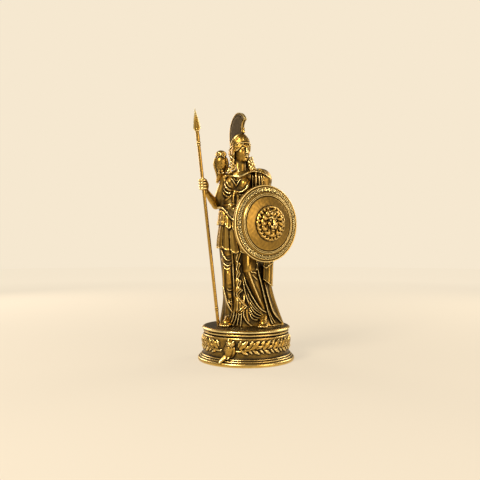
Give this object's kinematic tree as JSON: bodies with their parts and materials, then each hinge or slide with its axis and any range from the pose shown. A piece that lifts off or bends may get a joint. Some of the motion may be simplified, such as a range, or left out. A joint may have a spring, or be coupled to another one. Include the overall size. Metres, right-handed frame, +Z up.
{
  "type": "athena statuette",
  "caption": "Antique brass statuette of a robed, helmeted goddess with spear, round shield and owl, standing on a round plinth with a laurel band.",
  "frame": {"origin": "centre of the plinth's underside", "axes": "+Z up along the plinth's axis; the statue faces -Y; +X is the side of its left arm and shield"},
  "size_m": [0.1188, 0.112, 0.2877],
  "materials": {
    "plinth": "antique, dark in the hollows and polished on the edges",
    "figure": "antique, dark in the hollows and polished on the folds",
    "spear": "antique, worn bright",
    "shield": "antique, worn bright on the rim and the lion"
  },
  "bodies": {
    "root": {"plinth": "plinth", "figure": "figure", "spear": "spear", "shield": "shield"}
  },
  "joints": []
}
